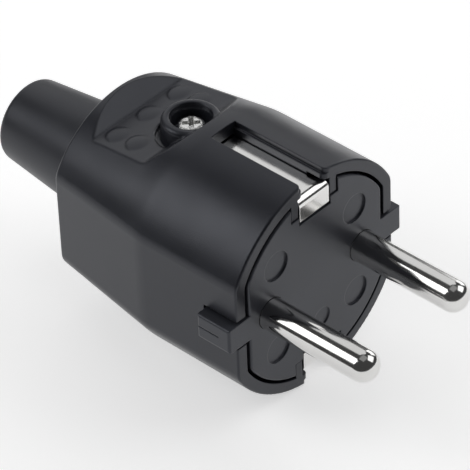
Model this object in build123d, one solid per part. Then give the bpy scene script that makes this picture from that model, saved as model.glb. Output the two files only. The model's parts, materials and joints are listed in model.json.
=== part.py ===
from build123d import *
import os

# Rewireable earthed mains plug with two round pins, in millimetres.
# The origin is the centre of the engagement face, the pins point along -Y,
# the hood and the cable bush lie behind the face along +Y, and +Z is up through the upper earth slot.

# Contact pins
pin_radius = 2.4
pin_reach = 19.0
pin_tip_round = 2.1
pin_half_spacing = 9.5
pin_neck_radius = 2.0
pin_neck_length = 0.8
pin_press_radius = 2.6
pin_collar_radius = 3.0
pin_collar_length = 1.2
terminal_half_width = 3.0
terminal_length = 8.8
terminal_edge = 0.4
wire_bore_radius = 1.8
wire_bore_depth = 7.0
terminal_screw_setback = 5.2

# Hood
hood_front_y = 0.15
hood_shoulder_y = 18.5
hood_rear_y = 37.1
hood_front_radius = 18.1
hood_rear_radius = 15.6
hood_front_flat_depth = 1.85
hood_rear_flat_depth = 1.9
hood_corner_round = 3.0
hood_shoulder_round = 14.0
hood_front_edge = 0.3
hood_rear_edge = 0.6
hood_wall = 1.8

# Earth slots of the hood
slot_half_width = 2.1
slot_mouth_round = 0.8
slot_ledge = 0.35
slot_ledge_depth = 1.1
slot_rib_thickness = 1.0
slot_rib_overlap = 0.5
guide_leg_gap = 0.3
guide_leg_thickness = 1.3
guide_leg_depth = 5.1
guide_leg_length = 7.0

# Grip recess and its finger bumps
grip_depth = 2.95
grip_slope_length = 3.7
grip_foot_round = 2.5
grip_ramp_length = 2.8
grip_rear_land = 0.9
grip_ramp_round = 5.0
bump_radius = 2.0
bump_height = 0.22
bump_pitch_x = 6.3
bump_setback = 2.6
bump_pitch_y = 3.8

# Hood screw, its boss and its nut
hood_screw_setback = 14.15
boss_radius = 4.3
boss_sink = 0.93
boss_rim_edge = 0.7
boss_moat_radius = 5.2
boss_moat_depth = 0.8
boss_mouth_radius = 3.1
boss_mouth_depth = 0.6
boss_bore_radius = 2.9
boss_bore_depth = 2.95
boss_tube_radius = 2.4
hood_screw_radius = 1.45
hood_screw_head_radius = 2.15
hood_screw_head_height = 1.8
hood_screw_tip_z = -5.6
hood_nut_width = 5.5
hood_nut_height = 2.4
hood_nut_seat_z = -2.4

# Cable bush
bush_wall_radius = 8.4
bush_end_radius = 6.45
bush_length = 19.3
bush_end_round = 1.1
bush_flange_radius = 10.0
bush_flange_thickness = 1.6
bush_bore_radius = 4.3
bush_mouth_round = 0.5

# Contact carrier
carrier_rim_gap = 0.5
carrier_flank_gap = 0.65
carrier_corner_round = 2.4
carrier_plate_thickness = 5.0
carrier_face_edge = 0.3
ear_reach = 18.0
ear_notch_gap = 0.45
ear_half_height = 2.05
ear_length = 6.0
ear_root = 1.1
ear_edge = 0.4
ear_groove_depth = 0.2
ear_groove_half_height = 0.12
ear_groove_front_y = 2.0
dimple_x = 8.15
dimple_z = 7.5
dimple_radius = 2.35
dimple_depth = 0.3
small_dimple_x = 0.9
small_dimple_z = -7.7
small_dimple_radius = 1.65
small_dimple_depth = 0.2
spine_half_width = 2.6
trough_wall = 1.2
trough_floor = 1.9
trough_rim_z = 2.0
trough_end_y = 16.5
deck_half_width = 10.8
deck_thickness = 2.5
deck_end_gap = 0.7
post_radius = 4.4
post_gap = 1.7

# Earth strap
strap_thickness = 0.8
strap_stem_half_width = 1.95
strap_head_half_width = 3.0
strap_head_length = 2.0
strap_depth = 2.4
strap_flap_length = 3.7
strap_front_y = 0.05
strap_bend = 0.5
strap_tuck = 1.2
strap_pad_half_size = 4.0
earth_screw_drop = 7.2
earth_screw_radius = 1.7
earth_screw_reach = 4.6
earth_terminal_gap = 0.35
earth_screw_head_radius = 2.8
earth_screw_head_height = 1.4
earth_plate_half_size = 3.5
earth_plate_thickness = 0.8

# Terminal and cord clamp screws
small_screw_radius = 1.25
small_screw_head_radius = 2.2
small_screw_head_height = 1.8
driver_slot_width = 0.7
driver_slot_depth = 0.8
terminal_screw_tip_z = 0.3

# Cord clamp
clamp_setback = 2.7
clamp_half_length = 2.3
clamp_half_span = 10.3
clamp_screw_x = 7.9
clamp_post_radius = 2.5
clamp_foot_z = 0.0
clamp_thickness = 2.3
clamp_arch_rise = 2.5
clamp_arch_half_width = 4.4
clamp_arch_slope = 1.2
clamp_tooth_height = 0.8
clamp_tooth_half_width = 0.6
saddle_height = 1.0
saddle_pitch = 2.4

# Clearances
fit_gap = 0.05
assembly_gap = 0.25

# Values that follow from the ones above
far = 60.0
hood_inside_rear_y = hood_rear_y - hood_wall
hood_front_half_width = hood_front_radius - hood_front_flat_depth
hood_rear_half_width = hood_rear_radius - hood_rear_flat_depth
carrier_radius = hood_front_radius - hood_wall - carrier_rim_gap
carrier_half_width = hood_front_half_width - hood_wall - carrier_flank_gap
hood_screw_y = hood_rear_y - hood_screw_setback
earth_head_y = hood_screw_y - boss_tube_radius - earth_terminal_gap
strap_bridge_y = earth_head_y - earth_screw_head_height - earth_plate_thickness
slot_end_y = strap_bridge_y - strap_tuck
earth_screw_tip_y = strap_bridge_y - earth_screw_reach
grip_foot_y = hood_screw_y
grip_step_y = grip_foot_y - grip_slope_length
grip_ramp_end_y = hood_rear_y - grip_rear_land
grip_ramp_y = grip_ramp_end_y - grip_ramp_length
bump_rear_y = grip_ramp_y - bump_setback
bump_front_y = bump_rear_y - bump_pitch_y
boss_top_z = hood_front_radius - boss_sink
boss_shelf_z = boss_top_z - boss_bore_depth
bush_end_y = hood_rear_y + bush_length
bush_flange_y = hood_inside_rear_y - bush_flange_thickness
deck_end_y = bush_flange_y - deck_end_gap
clamp_y = deck_end_y - clamp_setback
guide_leg_foot_z = hood_front_radius - guide_leg_depth
strap_top_z = hood_front_radius - strap_depth
strap_flap_z = strap_top_z - strap_flap_length
earth_screw_z = strap_top_z - earth_screw_drop
boss_foot_z = earth_screw_z - earth_screw_head_radius - post_gap
pin_shoulder_y = carrier_plate_thickness
terminal_front_y = pin_shoulder_y + pin_collar_length
terminal_rear_y = terminal_front_y + terminal_length
terminal_screw_y = terminal_rear_y - terminal_screw_setback
strap_seat_z = strap_top_z - strap_thickness
strap_bridge_seat_y = strap_bridge_y - strap_thickness
strap_flare = strap_head_half_width - strap_stem_half_width - fit_gap
leg_inner_x = strap_head_half_width + guide_leg_gap
leg_outer_x = leg_inner_x + guide_leg_thickness
notch_half_width = leg_outer_x + assembly_gap
notch_floor_z = guide_leg_foot_z - assembly_gap
flap_pocket_half_width = strap_head_half_width + assembly_gap
flap_pocket_floor_z = strap_flap_z - 2 * assembly_gap
flap_pocket_y = strap_front_y + strap_thickness
trough_seat_z = -terminal_half_width
deck_top_z = trough_seat_z - trough_floor
deck_low_z = deck_top_z - deck_thickness
trough_half_width = terminal_half_width + fit_gap


def box_between(low, high):
    """Box with these lowest and highest corners."""
    size = [b - a for a, b in zip(low, high)]
    centre = [(a + b) / 2 for a, b in zip(low, high)]
    return Pos(*centre) * Box(*size)


def upright_bar(radius, x, y, low_z, high_z):
    """Round bar along Z."""
    return Pos(x, y, (low_z + high_z) / 2) * Cylinder(radius, high_z - low_z)


def lengthwise_bar(radius, x, z, front_y, rear_y):
    """Round bar along Y."""
    turned = Rot(90, 0, 0) * Cylinder(radius, rear_y - front_y)
    return Pos(x, (front_y + rear_y) / 2, z) * turned


def mirrored_in_z(solid):
    return mirror(solid, about=Plane.XY)


def taper_share(y):
    """How far along the tapered rear of the hood a station lies, from 0 to 1."""
    return max(0.0, (y - hood_shoulder_y) / (hood_rear_y - hood_shoulder_y))


def hood_radius(y):
    return hood_front_radius + taper_share(y) * (hood_rear_radius - hood_front_radius)


def hood_half_width(y):
    return hood_front_half_width + taper_share(y) * (hood_rear_half_width - hood_front_half_width)


def grip_floor_z(y):
    """Height of the grip recess floor, which runs parallel to the hood's tapered top."""
    return hood_radius(y) - grip_depth


def hood_body(inset, front_y, rear_y):
    """Round bar with two flat flanks, straight in front of the shoulder and tapered behind it."""
    shoulder_radius = hood_front_radius - inset
    shoulder_half_width = hood_front_half_width - inset
    round_half = make_face(Polyline(
        (0, front_y),
        (shoulder_radius, front_y),
        (shoulder_radius, hood_shoulder_y),
        (hood_radius(rear_y) - inset, rear_y),
        (0, rear_y),
        close=True,
    ))
    flank = make_face(Polyline(
        (-shoulder_half_width, front_y),
        (shoulder_half_width, front_y),
        (shoulder_half_width, hood_shoulder_y),
        (hood_half_width(rear_y) - inset, rear_y),
        (-hood_half_width(rear_y) + inset, rear_y),
        (-shoulder_half_width, hood_shoulder_y),
        close=True,
    ))
    round_half = soften_shoulder(round_half)
    flank = soften_shoulder(flank)
    body = revolve(round_half, Axis.Y) & extrude(flank, far, both=True)
    corners = [edge for edge in body.edges() if edge.bounding_box().size.Y > fit_gap]
    return fillet(corners, hood_corner_round - inset)


def soften_shoulder(outline):
    """Rounds the outline where the straight front turns into the tapered rear."""
    turns = [v for v in outline.vertices() if abs(v.Y - hood_shoulder_y) < fit_gap]
    return fillet(turns, hood_shoulder_round)


def grip_block(grow):
    """Space of the grip recess; grown by the wall, it is the part of the hood that closes it below."""
    lean = grow / 2
    side = make_face(Polyline(
        (grip_step_y - lean, far),
        (grip_step_y - lean, hood_front_radius - grow),
        (grip_foot_y - lean, grip_floor_z(grip_foot_y) - grow),
        (grip_ramp_y, grip_floor_z(grip_ramp_y) - grow),
        (grip_ramp_end_y + grow, hood_radius(grip_ramp_end_y) - grow),
        (grip_ramp_end_y + grow, far),
        close=True,
    ))
    foot, ramp_foot = side.vertices().sort_by(Axis.X)[2:4]
    side = fillet(ramp_foot, grip_ramp_round)
    side = fillet(foot, grip_foot_round)
    return extrude(Plane.YZ * side, far, both=True)


def boss_moat():
    """Shallow sunk ring in the recess floor around the boss, behind the front slope."""
    ring = upright_bar(boss_moat_radius, 0, hood_screw_y, 0, far)
    lowered = Pos(0, 0, -boss_moat_depth) * grip_block(0)
    return ring & lowered & box_between((-far, grip_foot_y, 0), (far, far, far))


def slot_opening(half_width, low_z):
    """Cutter of an earth slot, open at the front with rounded mouth corners."""
    mouth_y = hood_front_y + slot_mouth_round
    wide = half_width + slot_mouth_round
    swing = slot_mouth_round * (1 - 0.5 ** 0.5)
    outline = [
        Line((half_width, slot_end_y), (half_width, mouth_y)),
        ThreePointArc((half_width, mouth_y), (half_width + swing, hood_front_y + swing), (wide, hood_front_y)),
        Line((wide, hood_front_y), (wide, -hood_wall)),
        Line((wide, -hood_wall), (-wide, -hood_wall)),
        Line((-wide, -hood_wall), (-wide, hood_front_y)),
        ThreePointArc((-wide, hood_front_y), (-half_width - swing, hood_front_y + swing), (-half_width, mouth_y)),
        Line((-half_width, mouth_y), (-half_width, slot_end_y)),
        Line((-half_width, slot_end_y), (half_width, slot_end_y)),
    ]
    plan = make_face(outline)
    return extrude(Pos(0, 0, low_z) * plan, far)


def finger_bump(x, y):
    """Low domed bump on the floor of the grip recess."""
    dome_radius = (bump_radius ** 2 + bump_height ** 2) / (2 * bump_height)
    dome = Pos(x, y, grip_floor_z(y) + bump_height - dome_radius) * Sphere(dome_radius)
    low_z = grip_floor_z(y) - hood_wall / 2
    return dome & upright_bar(bump_radius, x, y, low_z, grip_floor_z(y) + hood_wall)


def make_hood():
    outside = hood_body(0, hood_front_y, hood_rear_y)
    rims = outside.edges().group_by(Axis.Y)
    outside = fillet(rims[-1], hood_rear_edge)
    outside = fillet(outside.edges().group_by(Axis.Y)[0], hood_front_edge)
    boss = upright_bar(boss_radius, 0, hood_screw_y, 0, boss_top_z)
    boss = fillet(boss.edges().group_by(Axis.Z)[-1], boss_rim_edge)
    outside = outside - grip_block(0) - boss_moat() + boss
    inside = hood_body(hood_wall, -hood_wall, hood_inside_rear_y) - grip_block(hood_wall)
    shell = outside - inside

    for bump_y, columns in ((bump_rear_y, (-1, 0, 1)), (bump_front_y, (-1, 1))):
        for column in columns:
            shell += finger_bump(column * bump_pitch_x, bump_y)

    for side in (-1, 1):
        leg = box_between(
            (leg_inner_x, hood_front_y, guide_leg_foot_z),
            (leg_outer_x, hood_front_y + guide_leg_length, hood_front_radius - hood_wall / 2),
        )
        if side < 0:
            leg = mirror(leg, about=Plane.YZ)
        shell += leg
        shell += mirrored_in_z(leg)

    rib_x = slot_half_width + slot_rib_thickness
    ribs = box_between(
        (-rib_x, strap_head_length + strap_flare + assembly_gap, strap_top_z - slot_rib_overlap),
        (rib_x, slot_end_y + slot_rib_thickness, hood_front_radius - hood_wall / 2),
    )
    ribs -= box_between(
        (-slot_half_width, slot_end_y - assembly_gap, strap_top_z - slot_rib_overlap),
        (slot_half_width, slot_end_y + slot_rib_thickness, strap_top_z + assembly_gap),
    )
    shell += ribs
    shell += mirrored_in_z(ribs)
    slot = slot_opening(slot_half_width, guide_leg_foot_z)
    slot += slot_opening(slot_half_width + slot_ledge, hood_front_radius - slot_ledge_depth)
    shell -= slot
    shell -= mirrored_in_z(slot)

    ear_notch_half_height = ear_half_height + ear_notch_gap
    shell -= box_between(
        (-far, -hood_wall, -ear_notch_half_height),
        (far, ear_length + assembly_gap, ear_notch_half_height),
    )

    shell += upright_bar(boss_tube_radius, 0, hood_screw_y, boss_foot_z, boss_shelf_z)
    shell -= upright_bar(boss_bore_radius, 0, hood_screw_y, boss_shelf_z, far)
    shell -= upright_bar(boss_mouth_radius, 0, hood_screw_y, boss_top_z - boss_mouth_depth, far)
    shell -= upright_bar(hood_screw_radius + assembly_gap, 0, hood_screw_y, 0, far)
    shell -= lengthwise_bar(bush_wall_radius + fit_gap, 0, 0, hood_inside_rear_y - fit_gap, far)
    return shell


def make_cable_bush():
    half = make_face(Polyline(
        (bush_bore_radius, bush_flange_y),
        (bush_flange_radius, bush_flange_y),
        (bush_flange_radius, hood_inside_rear_y),
        (bush_wall_radius, hood_inside_rear_y),
        (bush_wall_radius, hood_rear_y),
        (bush_end_radius, bush_end_y),
        (bush_bore_radius, bush_end_y),
        close=True,
    ))
    end_corners = half.vertices().group_by(Axis.Y)[-1].sort_by(Axis.X)
    half = fillet(end_corners[-1], bush_end_round)
    inner_corner = half.vertices().group_by(Axis.Y)[-1].sort_by(Axis.X)[0]
    half = fillet(inner_corner, bush_mouth_round)
    return revolve(half, Axis.Y)


def carrier_outline():
    """Face outline of the carrier: a disc with two flats and rounded corners."""
    disc = Circle(carrier_radius) & Rectangle(2 * carrier_half_width, 2 * carrier_radius)
    return fillet(disc.vertices(), carrier_corner_round)


def make_contact_carrier():
    to_rear = Plane.XZ * Rot(0, 180, 0)
    plate = extrude(to_rear * carrier_outline(), carrier_plate_thickness)
    plate = fillet(plate.edges().group_by(Axis.Y)[0], carrier_face_edge)
    notch = box_between(
        (-notch_half_width, -hood_wall, notch_floor_z),
        (notch_half_width, far, far),
    )
    flap_pocket = box_between(
        (-flap_pocket_half_width, -hood_wall, flap_pocket_floor_z),
        (flap_pocket_half_width, flap_pocket_y, far),
    )
    for cutter in (notch, flap_pocket):
        plate -= cutter
        plate -= mirrored_in_z(cutter)
    carrier = plate + make_ears()
    spine = box_between(
        (-spine_half_width, flap_pocket_y, -strap_seat_z),
        (spine_half_width, strap_bridge_seat_y, strap_seat_z),
    )
    carrier += fillet(spine.edges().filter_by(Axis.X), strap_bend + fit_gap)
    carrier += make_deck()
    for side in (-1, 1):
        carrier += make_trough(side)
        carrier -= terminal_pocket(side)
        pin_x = side * pin_half_spacing
        carrier -= lengthwise_bar(pin_radius + fit_gap, pin_x, 0, -fit_gap, pin_shoulder_y)
        carrier -= lengthwise_bar(pin_press_radius + fit_gap, pin_x, 0, pin_neck_length, pin_shoulder_y)
        for level in (-1, 1):
            centre = (side * dimple_x, level * dimple_z)
            carrier -= lengthwise_bar(dimple_radius, *centre, -dimple_depth, dimple_depth)
    carrier -= lengthwise_bar(
        small_dimple_radius, small_dimple_x, small_dimple_z, -small_dimple_depth, small_dimple_depth
    )
    carrier -= lengthwise_bar(
        earth_screw_radius + assembly_gap, 0, earth_screw_z, earth_screw_tip_y - assembly_gap, far
    )
    return carrier


def make_ears():
    """Guide keys on both sides of the face, which pass through the rim of the hood."""
    root_x = carrier_half_width - ear_root
    ears = Part()
    for side in (-1, 1):
        ear = box_between(
            (root_x, 0, -ear_half_height),
            (ear_reach, ear_length, ear_half_height),
        )
        ear = fillet(ear.faces().sort_by(Axis.X)[-1].edges(), ear_edge)
        ear -= box_between(
            (ear_reach - ear_groove_depth, ear_groove_front_y, -ear_groove_half_height),
            (far, far, ear_groove_half_height),
        )
        if side < 0:
            ear = mirror(ear, about=Plane.YZ)
        ears += ear
    return ears


def make_trough(side):
    """Block behind the face plate that carries the terminal end of one pin."""
    trough = box_between(
        (pin_half_spacing - trough_half_width - trough_wall, carrier_plate_thickness - fit_gap, deck_top_z),
        (carrier_half_width, trough_end_y, trough_rim_z),
    )
    if side < 0:
        trough = mirror(trough, about=Plane.YZ)
    return trough


def terminal_pocket(side):
    """Space for the terminal end of one pin, open at the top and at the rear of its block."""
    x = side * pin_half_spacing
    return box_between(
        (x - trough_half_width, carrier_plate_thickness, trough_seat_z),
        (x + trough_half_width, trough_end_y, far),
    )


def make_deck():
    """Rear tongue with the screw post, the saddle ribs and the two clamp posts."""
    deck = box_between(
        (-deck_half_width, carrier_plate_thickness - fit_gap, deck_low_z),
        (deck_half_width, deck_end_y, deck_top_z),
    )
    rear_corners = deck.edges().filter_by(Axis.Z).group_by(Axis.Y)[-1]
    deck = fillet(rear_corners, clamp_post_radius)
    deck += upright_bar(post_radius, 0, hood_screw_y, deck_top_z, boss_foot_z)
    for side in (-1, 1):
        deck += upright_bar(clamp_post_radius, side * clamp_screw_x, clamp_y, deck_top_z, clamp_foot_z)
        rib_y = clamp_y + side * saddle_pitch / 2
        deck += box_between(
            (-clamp_arch_half_width, rib_y - clamp_tooth_half_width, deck_top_z),
            (clamp_arch_half_width, rib_y + clamp_tooth_half_width, deck_top_z + saddle_height),
        )
    for side in (-1, 1):
        deck -= upright_bar(small_screw_radius + fit_gap, side * clamp_screw_x, clamp_y, deck_top_z, far)
    deck -= upright_bar(hood_screw_radius + assembly_gap, 0, hood_screw_y, deck_low_z, far)
    pocket = Pos(0, hood_screw_y, deck_low_z) * hexagon(hood_nut_width + 2 * fit_gap)
    deck -= extrude(pocket, hood_nut_seat_z - deck_low_z)
    deck -= box_between(
        (-strap_stem_half_width - assembly_gap, strap_bridge_seat_y, deck_low_z),
        (strap_stem_half_width + assembly_gap, strap_bridge_y + assembly_gap, deck_top_z),
    )
    return deck


def hexagon(across_flats):
    return RegularPolygon(across_flats / 2, 6, major_radius=False)


def make_pin(side):
    """Solid contact pin with a rounded tip, a relief neck, a press shank, a collar and a screw terminal."""
    x = side * pin_half_spacing
    pin = lengthwise_bar(pin_radius, x, 0, -pin_reach, 0)
    pin = fillet(pin.edges().group_by(Axis.Y)[0], pin_tip_round)
    pin += lengthwise_bar(pin_neck_radius, x, 0, 0, pin_neck_length)
    pin += lengthwise_bar(pin_press_radius, x, 0, pin_neck_length, pin_shoulder_y)
    pin += lengthwise_bar(pin_collar_radius, x, 0, pin_shoulder_y, terminal_front_y)
    terminal = box_between(
        (x - terminal_half_width, terminal_front_y, -terminal_half_width),
        (x + terminal_half_width, terminal_rear_y, terminal_half_width),
    )
    pin += fillet(terminal.edges().filter_by(Axis.Y), terminal_edge)
    pin -= lengthwise_bar(wire_bore_radius, x, 0, terminal_rear_y - wire_bore_depth, terminal_rear_y)
    pin -= upright_bar(small_screw_radius + fit_gap, x, terminal_screw_y, 0, far)
    return pin


def slotted_screw(radius, head_radius, head_height, shank_length):
    """Slotted screw along +Z: the head's underside is at the origin and the shank goes down."""
    head = upright_bar(head_radius, 0, 0, 0, head_height)
    head = fillet(head.edges().group_by(Axis.Z)[-1], head_height / 4)
    head -= box_between(
        (-driver_slot_width / 2, -head_radius, head_height - driver_slot_depth),
        (driver_slot_width / 2, head_radius, head_height),
    )
    return head + upright_bar(radius, 0, 0, -shank_length, 0)


def make_terminal_screw(side):
    screw = slotted_screw(
        small_screw_radius,
        small_screw_head_radius,
        small_screw_head_height,
        terminal_half_width - terminal_screw_tip_z,
    )
    return Pos(side * pin_half_spacing, terminal_screw_y, terminal_half_width) * screw


def make_clamp_screw(side):
    screw = slotted_screw(
        small_screw_radius,
        small_screw_head_radius,
        small_screw_head_height,
        clamp_thickness + clamp_foot_z - deck_top_z - assembly_gap,
    )
    return Pos(side * clamp_screw_x, clamp_y, clamp_foot_z + clamp_thickness) * screw


def make_earth_screw():
    screw = slotted_screw(
        earth_screw_radius,
        earth_screw_head_radius,
        earth_screw_head_height,
        strap_bridge_y + earth_plate_thickness - earth_screw_tip_y,
    )
    facing_rear = Rot(-90, 0, 0) * screw
    return Pos(0, strap_bridge_y + earth_plate_thickness, earth_screw_z) * facing_rear


def make_earth_clamp_plate():
    rear_y = strap_bridge_y + earth_plate_thickness
    plate = box_between(
        (-earth_plate_half_size, strap_bridge_y, earth_screw_z - earth_plate_half_size),
        (earth_plate_half_size, rear_y, earth_screw_z + earth_plate_half_size),
    )
    return plate - lengthwise_bar(earth_screw_radius + fit_gap, 0, earth_screw_z, strap_bridge_y, rear_y)


def strap_section():
    """Side view of the earth strap: two flaps, two stems and the bridge, bent from one strip."""
    outer_bend = strap_bend + strap_thickness
    outer = FilletPolyline(
        (strap_front_y, strap_flap_z),
        (strap_front_y, strap_top_z),
        (strap_bridge_y, strap_top_z),
        (strap_bridge_y, -strap_top_z),
        (strap_front_y, -strap_top_z),
        (strap_front_y, -strap_flap_z),
        radius=outer_bend,
    )
    inside_y = strap_front_y + strap_thickness
    inner = FilletPolyline(
        (inside_y, -strap_flap_z),
        (inside_y, -strap_seat_z),
        (strap_bridge_seat_y, -strap_seat_z),
        (strap_bridge_seat_y, strap_seat_z),
        (inside_y, strap_seat_z),
        (inside_y, strap_flap_z),
        radius=strap_bend,
    )
    ends = [Line(outer @ 1, inner @ 0), Line(inner @ 1, outer @ 0)]
    return make_face([outer, inner] + ends)


def strap_plan():
    """Plan of a stem: a narrow strip that flares into a wide head at the front."""
    half_outline = make_face(Polyline(
        (-strap_head_half_width, strap_front_y - strap_thickness),
        (strap_head_half_width, strap_front_y - strap_thickness),
        (strap_head_half_width, strap_head_length),
        (strap_stem_half_width, strap_head_length),
        (strap_stem_half_width, strap_bridge_y + strap_thickness),
        (-strap_stem_half_width, strap_bridge_y + strap_thickness),
        (-strap_stem_half_width, strap_head_length),
        (-strap_head_half_width, strap_head_length),
        close=True,
    ))
    flares = [
        v for v in half_outline.vertices()
        if abs(v.Y - strap_head_length) < fit_gap and abs(v.X) < strap_head_half_width - fit_gap
    ]
    return fillet(flares, strap_flare)


def make_earth_strap():
    strip = extrude(Plane.YZ * strap_section(), strap_pad_half_size, both=True)
    widths = extrude(strap_plan(), far, both=True)
    pad = box_between(
        (-strap_pad_half_size, strap_bridge_seat_y, earth_screw_z - strap_pad_half_size),
        (strap_pad_half_size, strap_bridge_y, earth_screw_z + strap_pad_half_size),
    )
    strap = (strip & widths) + pad
    hole = lengthwise_bar(earth_screw_radius + fit_gap, 0, earth_screw_z, strap_bridge_seat_y, strap_bridge_y)
    return strap - hole


def make_hood_screw():
    """Pan-head screw that draws the hood onto the carrier, with a cross recess."""
    head_top_z = boss_shelf_z + hood_screw_head_height
    head = upright_bar(hood_screw_head_radius, 0, 0, boss_shelf_z, head_top_z)
    head = fillet(head.edges().group_by(Axis.Z)[-1], hood_screw_head_height / 2)
    recess_half_length = hood_screw_head_radius * 0.6
    recess_low_z = head_top_z - hood_screw_head_height / 2
    for turn in (0, 90):
        wing = box_between(
            (-driver_slot_width / 2, -recess_half_length, recess_low_z),
            (driver_slot_width / 2, recess_half_length, head_top_z),
        )
        head -= Rot(0, 0, turn + 45) * wing
    screw = head + upright_bar(hood_screw_radius, 0, 0, hood_screw_tip_z, boss_shelf_z)
    return Pos(0, hood_screw_y, 0) * screw


def make_hood_nut():
    nut = extrude(hexagon(hood_nut_width), hood_nut_height)
    nut -= upright_bar(hood_screw_radius + fit_gap, 0, 0, 0, hood_nut_height)
    return Pos(0, hood_screw_y, hood_nut_seat_z - hood_nut_height) * nut


def make_cord_clamp_bar():
    """Arched bar that holds the cord down on the saddle ribs."""
    top_z = clamp_foot_z + clamp_thickness
    arch_foot_x = clamp_arch_half_width + clamp_arch_slope
    right_half = [
        (0, clamp_foot_z + clamp_arch_rise),
        (clamp_arch_half_width, clamp_foot_z + clamp_arch_rise),
        (arch_foot_x, clamp_foot_z),
        (clamp_half_span, clamp_foot_z),
        (clamp_half_span, top_z),
        (arch_foot_x, top_z),
        (clamp_arch_half_width, top_z + clamp_arch_rise),
        (0, top_z + clamp_arch_rise),
    ]
    left_half = [(-x, z) for x, z in reversed(right_half[1:-1])]
    section = make_face(Polyline(*right_half, *left_half, close=True))
    bar = extrude(Plane.XZ * section, clamp_half_length, both=True)
    bar += box_between(
        (-clamp_arch_half_width, -clamp_tooth_half_width, clamp_foot_z + clamp_arch_rise - clamp_tooth_height),
        (clamp_arch_half_width, clamp_tooth_half_width, clamp_foot_z + clamp_arch_rise),
    )
    ends = bar.edges().filter_by(Axis.Z).group_by(SortBy.LENGTH)[-1]
    bar = fillet(ends, clamp_half_length / 2)
    for side in (-1, 1):
        bar -= upright_bar(small_screw_radius + assembly_gap, side * clamp_screw_x, 0, clamp_foot_z, top_z)
    return Pos(0, clamp_y, 0) * bar


def make_pieces():
    pieces = {
        "hood": make_hood(),
        "cable_bush": make_cable_bush(),
        "contact_carrier": make_contact_carrier(),
        "earth_strap": make_earth_strap(),
        "earth_clamp_plate": make_earth_clamp_plate(),
        "earth_screw": make_earth_screw(),
        "cord_clamp_bar": make_cord_clamp_bar(),
        "hood_screw": make_hood_screw(),
        "hood_nut": make_hood_nut(),
    }
    for name, side in (("left", -1), ("right", 1)):
        pieces[name + "_pin"] = make_pin(side)
        pieces[name + "_terminal_screw"] = make_terminal_screw(side)
        pieces[name + "_clamp_screw"] = make_clamp_screw(side)
    return pieces


os.makedirs("parts", exist_ok=True)
for node, solid in make_pieces().items():
    export_step(solid, os.path.join("parts", node + ".step"))
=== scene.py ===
import json
import math
import bpy
from mathutils import Matrix, Vector


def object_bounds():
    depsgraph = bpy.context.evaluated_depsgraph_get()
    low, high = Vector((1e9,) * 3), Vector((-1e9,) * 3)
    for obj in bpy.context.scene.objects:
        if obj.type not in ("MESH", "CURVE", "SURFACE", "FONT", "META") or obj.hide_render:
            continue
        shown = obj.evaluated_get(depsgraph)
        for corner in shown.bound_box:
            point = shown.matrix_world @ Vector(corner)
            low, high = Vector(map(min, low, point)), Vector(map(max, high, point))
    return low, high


# Looks of a rewireable earthed mains plug, in metres, in the frame of its solids.
# The pins point along -Y, the cable bush along +Y, and the upper earth slot faces +Z.

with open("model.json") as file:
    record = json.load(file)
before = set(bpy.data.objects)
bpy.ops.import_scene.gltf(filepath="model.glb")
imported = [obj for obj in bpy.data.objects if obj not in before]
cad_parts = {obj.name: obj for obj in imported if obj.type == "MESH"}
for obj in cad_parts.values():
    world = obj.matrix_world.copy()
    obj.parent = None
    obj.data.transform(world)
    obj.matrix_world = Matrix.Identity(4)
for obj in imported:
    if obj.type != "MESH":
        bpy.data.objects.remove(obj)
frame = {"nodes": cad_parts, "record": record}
cad_low, cad_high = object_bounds()
nodes = frame["nodes"]

# Camera, with angles in degrees
view_azimuth = -46.101
view_elevation = 39.762
view_roll = -2.410
view_distance = 0.5342
view_aim_right = -0.011349
view_aim_up = 0.006066
view_nearest = 0.01
view_farthest = 20.0
focal_pixels = 3840.6
image_pixels = 470
sensor_width_mm = 36.0

# Studio
floor_half_size = 0.35
floor_colour = (0.90, 0.90, 0.90, 1.0)
floor_lift = 0.54
room_colour = (1.0, 1.0, 1.0, 1.0)
room_strength = 0.06
studio_centre = Vector((0.0, 0.016, 0.0))
softbox_distance = 0.60
# Each softbox: name, azimuth and elevation in degrees, width, height and watts
softboxes = [
    ("rear_left_box", -135.0, 36.0, 0.30, 0.38, 0.92),
    ("rear_right_box", 145.0, 36.0, 0.50, 0.62, 0.76),
    ("front_right_box", 48.0, 40.0, 0.40, 0.40, 0.75),
    ("right_box", 99.0, 18.0, 0.38, 0.28, 0.52),
    ("ceiling_box", 0.0, 86.0, 0.44, 0.44, 0.15),
]

# Grain, and broad clouds over which tone and polish drift
grain_detail = 3.0
grain_roughness = 0.6
grain_strength = 0.5
even_grain = (1.0, 1.0, 1.0)
drawn_grain = (1.0, 0.03, 0.15)
cloud_scale = 140.0
cloud_detail = 2.0
cloud_darkest = 0.3
cloud_lightest = 0.7

# Edges. The grip recess on top of the hood has rounder ones than the rest.
edge_samples = 8
hood_edge_radius = 2.2e-4
grip_edge_radius = 7.0e-4
grip_front_y = 0.0185
grip_rear_y = 0.0355
grip_low_z = 0.0105
grip_fade = 0.0015

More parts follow.
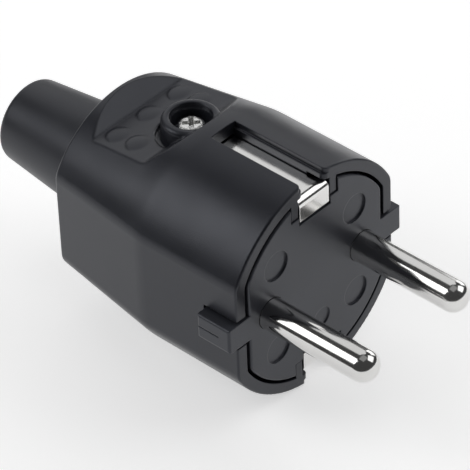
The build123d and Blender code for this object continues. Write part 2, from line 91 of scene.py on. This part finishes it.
# Finishes. Tones run from darkest to lightest, polish is the roughness from shiniest to dullest.
plastic = {
    "grain": "moulded_grain",
    "grain_depth": 2.5e-5,
    "metallic": 0.0,
    "sheen_tint": (0.88, 0.91, 1.0, 1.0),
}
metal = {
    "metallic": 1.0,
    "sheen_tint": (1.0, 1.0, 1.0, 1.0),
}
nickel = {
    **metal,
    "grain": "drawn_lines",
    "grain_depth": 2.0e-6,
    "edge_radius": 1.5e-4,
}
finish_rows = {
    "hood_plastic": {
        **plastic,
        "tones": ((0.0180, 0.0190, 0.0250), (0.0225, 0.0237, 0.0306)),
        "polish": (0.26, 0.40),
        "grain_scale": 5200.0,
        "edge_radius": hood_edge_radius,
    },
    "carrier_plastic": {
        **plastic,
        "tones": ((0.0380, 0.0400, 0.0490), (0.0450, 0.0472, 0.0570)),
        "polish": (0.29, 0.38),
        "grain_scale": 6000.0,
        "edge_radius": 2.0e-4,
    },
    "bush_rubber": {
        **plastic,
        "tones": ((0.0250, 0.0259, 0.0312), (0.0305, 0.0316, 0.0376)),
        "polish": (0.34, 0.48),
        "grain_scale": 4600.0,
        "edge_radius": 2.5e-4,
    },
    "nickel_plate": {
        **nickel,
        "tones": ((0.660, 0.655, 0.645), (0.720, 0.715, 0.705)),
        "polish": (0.08, 0.15),
        "grain_scale": 3200.0,
    },
    "nickel_strip": {
        **nickel,
        "tones": ((0.740, 0.735, 0.725), (0.820, 0.815, 0.805)),
        "polish": (0.12, 0.18),
        "grain_scale": 5000.0,
    },
    "zinc_steel": {
        **metal,
        "grain": "moulded_grain",
        "grain_depth": 3.0e-4,
        "tones": ((0.70, 0.70, 0.69), (0.88, 0.88, 0.87)),
        "polish": (0.14, 0.34),
        "grain_scale": 1500.0,
        "edge_radius": 1.2e-4,
    },
}


# Node helpers

def set_inputs(node, inputs):
    """Sets input values by name; an underscore in a name stands for a space."""
    for name, value in inputs.items():
        node.inputs[name.replace("_", " ")].default_value = value


def add_node(tree, kind, **inputs):
    node = tree.nodes.new(kind)
    set_inputs(node, inputs)
    return node


def add_group(tree, group, **inputs):
    node = tree.nodes.new("ShaderNodeGroup")
    node.node_tree = group
    set_inputs(node, inputs)
    return node


def add_math(tree, operation, first, second):
    """Math node on two outputs of other nodes; returns its own output."""
    node = tree.nodes.new("ShaderNodeMath")
    node.operation = operation
    tree.links.new(first, node.inputs[0])
    tree.links.new(second, node.inputs[1])
    return node.outputs[0]


def join(tree, source, output, target, target_input):
    tree.links.new(source.outputs[output], target.inputs[target_input])


def new_group(name, number, outputs):
    """Shader group with one number as input and outputs given by name and socket type."""
    group = bpy.data.node_groups.new(name, "ShaderNodeTree")
    group.interface.new_socket(number, in_out="INPUT", socket_type="NodeSocketFloat")
    for label, kind in outputs:
        group.interface.new_socket(label, in_out="OUTPUT", socket_type=kind)
    entry = group.nodes.new("NodeGroupInput")
    leave = group.nodes.new("NodeGroupOutput")
    return group, entry, leave


def blank_material(name):
    material = bpy.data.materials.new(name)
    material.use_nodes = True
    material.node_tree.nodes.clear()
    return material, material.node_tree


def finish_material(tree, shader):
    output = tree.nodes.new("ShaderNodeOutputMaterial")
    tree.links.new(shader.outputs[0], output.inputs["Surface"])


# Effects that the finishes share

def make_grain_group(name, stretch):
    """Fine grain, drawn out along the axes whose stretch is small, and broad clouds."""
    outputs = [("Height", "NodeSocketFloat"), ("Cloud", "NodeSocketFloat")]
    group, entry, leave = new_group(name, "Grain Scale", outputs)
    place = group.nodes.new("ShaderNodeTexCoord")
    drawn = add_node(group, "ShaderNodeMapping", Scale=stretch)
    grain = add_node(group, "ShaderNodeTexNoise", Detail=grain_detail, Roughness=grain_roughness)
    cloud = add_node(group, "ShaderNodeTexNoise", Scale=cloud_scale, Detail=cloud_detail)
    join(group, place, "Object", drawn, "Vector")
    join(group, drawn, "Vector", grain, "Vector")
    join(group, place, "Object", cloud, "Vector")
    join(group, entry, "Grain Scale", grain, "Scale")
    join(group, grain, "Fac", leave, "Height")
    join(group, cloud, "Fac", leave, "Cloud")
    return group


def make_edge_group():
    """Softly broken edges."""
    group, entry, leave = new_group("soft_edges", "Radius", [("Normal", "NodeSocketVector")])
    bevel = group.nodes.new("ShaderNodeBevel")
    bevel.samples = edge_samples
    join(group, entry, "Radius", bevel, "Radius")
    join(group, bevel, "Normal", leave, "Normal")
    return group


# Finishes

def make_finish(name, grain, tones, polish, grain_scale, grain_depth, edge_radius, metallic, sheen_tint):
    """Surface whose tone and polish drift a little, with fine grain and softly broken edges."""
    material, tree = blank_material(name)
    surface = add_group(tree, effects[grain], Grain_Scale=grain_scale)
    edges = add_group(tree, effects["soft_edges"], Radius=edge_radius)
    edges.name = "edges"
    tone = tree.nodes.new("ShaderNodeValToRGB")
    positions = (cloud_darkest, cloud_lightest)
    for element, position, colour in zip(tone.color_ramp.elements, positions, tones):
        element.position = position
        element.color = (*colour, 1.0)
    gloss = add_node(tree, "ShaderNodeMapRange", To_Min=polish[0], To_Max=polish[1])
    bump = add_node(tree, "ShaderNodeBump", Strength=grain_strength, Distance=grain_depth)
    shader = add_node(tree, "ShaderNodeBsdfPrincipled", Metallic=metallic, Specular_Tint=sheen_tint)
    join(tree, surface, "Cloud", tone, "Fac")
    join(tree, surface, "Cloud", gloss, "Value")
    join(tree, surface, "Height", bump, "Height")
    join(tree, edges, "Normal", bump, "Normal")
    join(tree, tone, "Color", shader, "Base Color")
    join(tree, gloss, "Result", shader, "Roughness")
    join(tree, bump, "Normal", shader, "Normal")
    finish_material(tree, shader)
    return material


def soften_grip(material):
    """Gives the edges of the hood's grip recess a larger round than its other edges."""
    tree = material.node_tree
    place = tree.nodes.new("ShaderNodeTexCoord")
    split = tree.nodes.new("ShaderNodeSeparateXYZ")
    join(tree, place, "Object", split, "Vector")
    limits = [
        ("Y", grip_front_y, grip_fade),
        ("Y", grip_rear_y, -grip_fade),
        ("Z", grip_low_z, grip_fade),
    ]
    masks = []
    for axis, edge, fade in limits:
        ramp = add_node(tree, "ShaderNodeMapRange", From_Min=edge, From_Max=edge + fade)
        join(tree, split, axis, ramp, "Value")
        masks.append(ramp.outputs["Result"])
    front, rear, low = masks
    between = add_math(tree, "MULTIPLY", front, rear)
    inside = add_math(tree, "MULTIPLY", between, low)
    radius = add_node(tree, "ShaderNodeMapRange", To_Min=hood_edge_radius, To_Max=grip_edge_radius)
    tree.links.new(inside, radius.inputs["Value"])
    join(tree, radius, "Result", tree.nodes["edges"], "Radius")


def make_floor_finish():
    """Pale paper that keeps the shadow and looks white to the camera and in reflections."""
    material, tree = blank_material("studio_paper")
    rays = tree.nodes.new("ShaderNodeLightPath").outputs
    mirrored = add_math(tree, "MAXIMUM", rays["Is Glossy Ray"], rays["Is Transmission Ray"])
    seen = add_math(tree, "MAXIMUM", rays["Is Camera Ray"], mirrored)
    lift = add_node(tree, "ShaderNodeMapRange", To_Max=floor_lift)
    glow = tree.nodes.new("ShaderNodeEmission")
    paper = add_node(tree, "ShaderNodeBsdfDiffuse", Color=floor_colour)
    both = tree.nodes.new("ShaderNodeAddShader")
    tree.links.new(seen, lift.inputs["Value"])
    join(tree, lift, "Result", glow, "Strength")
    tree.links.new(paper.outputs[0], both.inputs[0])
    tree.links.new(glow.outputs[0], both.inputs[1])
    finish_material(tree, both)
    return material


# Studio

def direction(azimuth, elevation):
    """Unit vector at these angles in degrees; azimuth 0 is -Y and 90 is +X, elevation 90 is +Z."""
    turn = math.radians(azimuth)
    rise = math.radians(elevation)
    return Vector((math.sin(turn) * math.cos(rise), -math.cos(turn) * math.cos(rise), math.sin(rise)))


def make_camera():
    back = direction(view_azimuth, view_elevation)
    level = direction(view_azimuth + 90.0, 0.0)
    upright = back.cross(level)
    roll = math.radians(view_roll)
    right = math.cos(roll) * level + math.sin(roll) * upright
    up = math.cos(roll) * upright - math.sin(roll) * level
    eye = view_distance * back + view_aim_right * right + view_aim_up * up
    turned = Matrix((right, up, back)).transposed().to_4x4()
    data = bpy.data.cameras.new("photo_camera")
    data.sensor_width = sensor_width_mm
    data.lens = focal_pixels / image_pixels * sensor_width_mm
    data.clip_start = view_nearest
    data.clip_end = view_farthest
    camera = bpy.data.objects.new("photo_camera", data)
    camera.matrix_world = Matrix.Translation(eye) @ turned
    bpy.context.scene.collection.objects.link(camera)
    bpy.context.scene.camera = camera


def make_softbox(name, azimuth, elevation, width, height, watts):
    """Rectangular lamp that faces the plug."""
    outward = direction(azimuth, elevation)
    data = bpy.data.lights.new(name, "AREA")
    data.shape = "RECTANGLE"
    data.size = width
    data.size_y = height
    data.energy = watts
    lamp = bpy.data.objects.new(name, data)
    lamp.location = studio_centre + softbox_distance * outward
    lamp.rotation_mode = "QUATERNION"
    lamp.rotation_quaternion = outward.to_track_quat("Z", "Y")
    bpy.context.scene.collection.objects.link(lamp)


def make_floor():
    half = floor_half_size
    ground = cad_low.z
    corners = [(-half, -half, ground), (half, -half, ground), (half, half, ground), (-half, half, ground)]
    mesh = bpy.data.meshes.new("studio_floor")
    mesh.from_pydata(corners, [], [(0, 1, 2, 3)])
    mesh.materials.append(make_floor_finish())
    floor = bpy.data.objects.new("studio_floor", mesh)
    bpy.context.scene.collection.objects.link(floor)


def make_room():
    world = bpy.data.worlds.new("studio_room")
    world.use_nodes = True
    background = world.node_tree.nodes["Background"]
    background.inputs["Color"].default_value = room_colour
    background.inputs["Strength"].default_value = room_strength
    bpy.context.scene.world = world


effects = {
    "moulded_grain": make_grain_group("moulded_grain", even_grain),
    "drawn_lines": make_grain_group("drawn_lines", drawn_grain),
    "soft_edges": make_edge_group(),
}
finishes = {name: make_finish(name, **row) for name, row in finish_rows.items()}
soften_grip(finishes["hood_plastic"])
for subpart in frame["record"]["subparts"]:
    piece = nodes[subpart["node"]]
    piece.data.materials.clear()
    piece.data.materials.append(finishes[subpart["material_slot"]])
# The plating of the strap is paler than that of the pins
nodes["earth_strap"].data.materials[0] = finishes["nickel_strip"]

make_camera()
make_floor()
make_room()
for box in softboxes:
    make_softbox(*box)
bpy.context.scene.view_settings.view_transform = "Standard"
